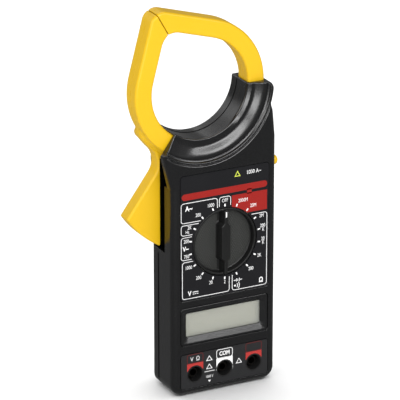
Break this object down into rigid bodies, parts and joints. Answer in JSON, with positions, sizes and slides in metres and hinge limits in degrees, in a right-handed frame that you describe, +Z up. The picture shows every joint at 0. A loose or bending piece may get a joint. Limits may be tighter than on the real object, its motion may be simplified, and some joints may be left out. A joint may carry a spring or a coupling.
{
  "type": "clamp meter",
  "caption": "Hand-held electrical tester with a sprung current-sensing clamp, trigger, rotary range selector, display and sockets for test leads.",
  "frame": {"origin": "centre of the bottom end face, on the jaws' mid-plane", "axes": "+Z up along the body towards the jaws, front face and display towards -Y, trigger side towards -X"},
  "size_m": [0.0931, 0.035, 0.2315],
  "materials": {
    "case_black": "fine grain",
    "yellow_abs": "satin",
    "label_film": "satin print film",
    "rear_film": "satin",
    "lcd_clear": "clear window",
    "lcd_grey": "liquid crystal glass",
    "rubber_grey": "elastomer",
    "board_green": "solder mask",
    "part_black": "moulded",
    "trimmer_blue": "moulded",
    "brass": "turned",
    "steel": "zinc plated",
    "knob_grey": "moulded, fine texture",
    "pointer_white": "inlay",
    "rotor_ivory": "moulded",
    "battery_can": "wrapped can",
    "wire_cover": "insulation",
    "core_iron": "laminated",
    "copper_wire": "enamelled winding"
  },
  "bodies": {
    "meter": {"front_case": "case_black", "rear_case": "case_black", "face_label": "label_film", "jack_label": "label_film", "rear_label": "rear_film", "lcd_frame": "case_black", "lcd_window": "lcd_clear", "lcd_glass": "lcd_grey", "zebra_strips": "rubber_grey", "main_board": "board_green", "board_chips": "part_black", "trimmers": "trimmer_blue", "buzzer": "part_black", "board_screws": "steel", "jack_tubes": "brass", "jack_shrouds": "part_black", "battery": "battery_can", "battery_snap": "part_black", "battery_leads": "wire_cover", "battery_pads": "rubber_grey", "case_screws": "steel", "fixed_jaw_front": "yellow_abs", "fixed_jaw_rear": "yellow_abs", "fixed_jaw_core": "core_iron", "fixed_jaw_coil": "copper_wire", "fixed_coil_leads": "wire_cover", "pivot_pin": "steel", "jaw_spring": "steel", "hold_switch": "part_black", "hold_board": "board_green", "detent_ring": "part_black", "hold_spring": "steel"},
    "jaw": {"moving_jaw_front": "yellow_abs", "moving_jaw_rear": "yellow_abs", "moving_jaw_core": "core_iron", "moving_jaw_coil": "copper_wire", "moving_jaw_screws": "steel", "pivot_bush": "brass"},
    "selector": {"range_knob": "knob_grey", "knob_pointer": "pointer_white", "selector_rotor": "rotor_ivory", "wiper_contacts": "brass", "detent_balls": "steel", "detent_springs": "steel", "knob_clip": "steel"},
    "hold": {"hold_button": "yellow_abs"},
    "cover": {"battery_cover": "case_black", "cover_screw": "steel"}
  },
  "joints": [
    {"name": "jaw_hinge", "type": "hinge", "parent": "meter", "child": "jaw", "pos_m": [-0.005, 0, 0.142], "axis": [0, -1, 0], "range_deg": [0, 30], "stiffness_Nm_per_rad": 0.5, "springref_deg": -28.65, "deforming": ["jaw_spring"]},
    {"name": "selector_turn", "type": "hinge", "parent": "meter", "child": "selector", "pos_m": [0, 0, 0.09125], "axis": [0, 1, 0], "continuous": true},
    {"name": "hold_press", "type": "slide", "parent": "meter", "child": "hold", "axis": [-1, 0, 0], "range_m": [0, 0.002], "stiffness_N_per_m": 300, "springref_m": -0.002, "deforming": ["hold_spring"]},
    {"name": "cover_lift", "type": "slide", "parent": "meter", "child": "cover", "axis": [0, 1, 0], "range_m": [0, 0.03]}
  ]
}
